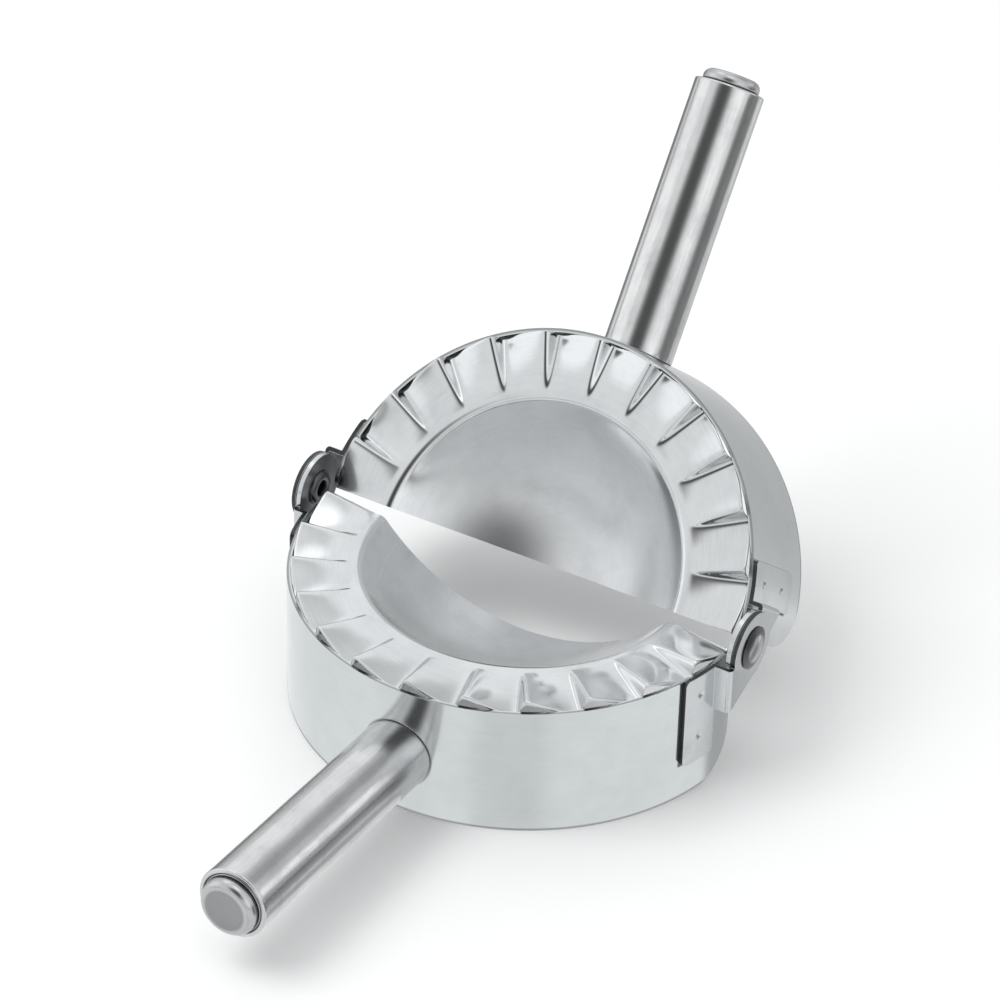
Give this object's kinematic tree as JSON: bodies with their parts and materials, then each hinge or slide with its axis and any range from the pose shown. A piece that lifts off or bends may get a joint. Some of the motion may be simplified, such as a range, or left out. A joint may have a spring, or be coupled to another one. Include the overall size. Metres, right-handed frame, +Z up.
{
  "type": "ravioli mold",
  "caption": "Hinged half-moon pastry press in stainless sheet: two half rings with bowls and fluted crimping flanges fold shut on riveted ears, with a tube handle on each half.",
  "frame": {"origin": "on the surface the front half stands on, at the middle of the whole mould's footprint in the pose of the picture", "axes": "+X along the hinge line, -Y towards the front half's handle, +Z up"},
  "size_m": [0.105, 0.1896, 0.107],
  "materials": {
    "band_steel": "satin",
    "plate_steel": "polished",
    "strap_steel": "satin",
    "handle_steel": "brushed along the handle",
    "cap_steel": "turned, with a polished edge",
    "rivet_steel": "satin"
  },
  "bodies": {
    "front_half": {"front_band": "band_steel", "front_press_plate": "plate_steel", "front_hinge_strap_left": "strap_steel", "front_hinge_strap_right": "strap_steel", "front_handle_tube": "handle_steel", "front_handle_plug": "handle_steel", "front_handle_cap": "cap_steel", "hinge_rivet_left": "rivet_steel", "hinge_rivet_right": "rivet_steel"},
    "back_half": {"back_band": "band_steel", "back_press_plate": "plate_steel", "back_hinge_strap_left": "strap_steel", "back_hinge_strap_right": "strap_steel", "back_handle_tube": "handle_steel", "back_handle_plug": "handle_steel", "back_handle_cap": "cap_steel"}
  },
  "joints": [
    {"name": "half_fold", "type": "hinge", "parent": "front_half", "child": "back_half", "pos_m": [0, 0.01253, 0.0294], "axis": [1, 0, 0], "range_deg": [-51.2, 128.8]}
  ]
}
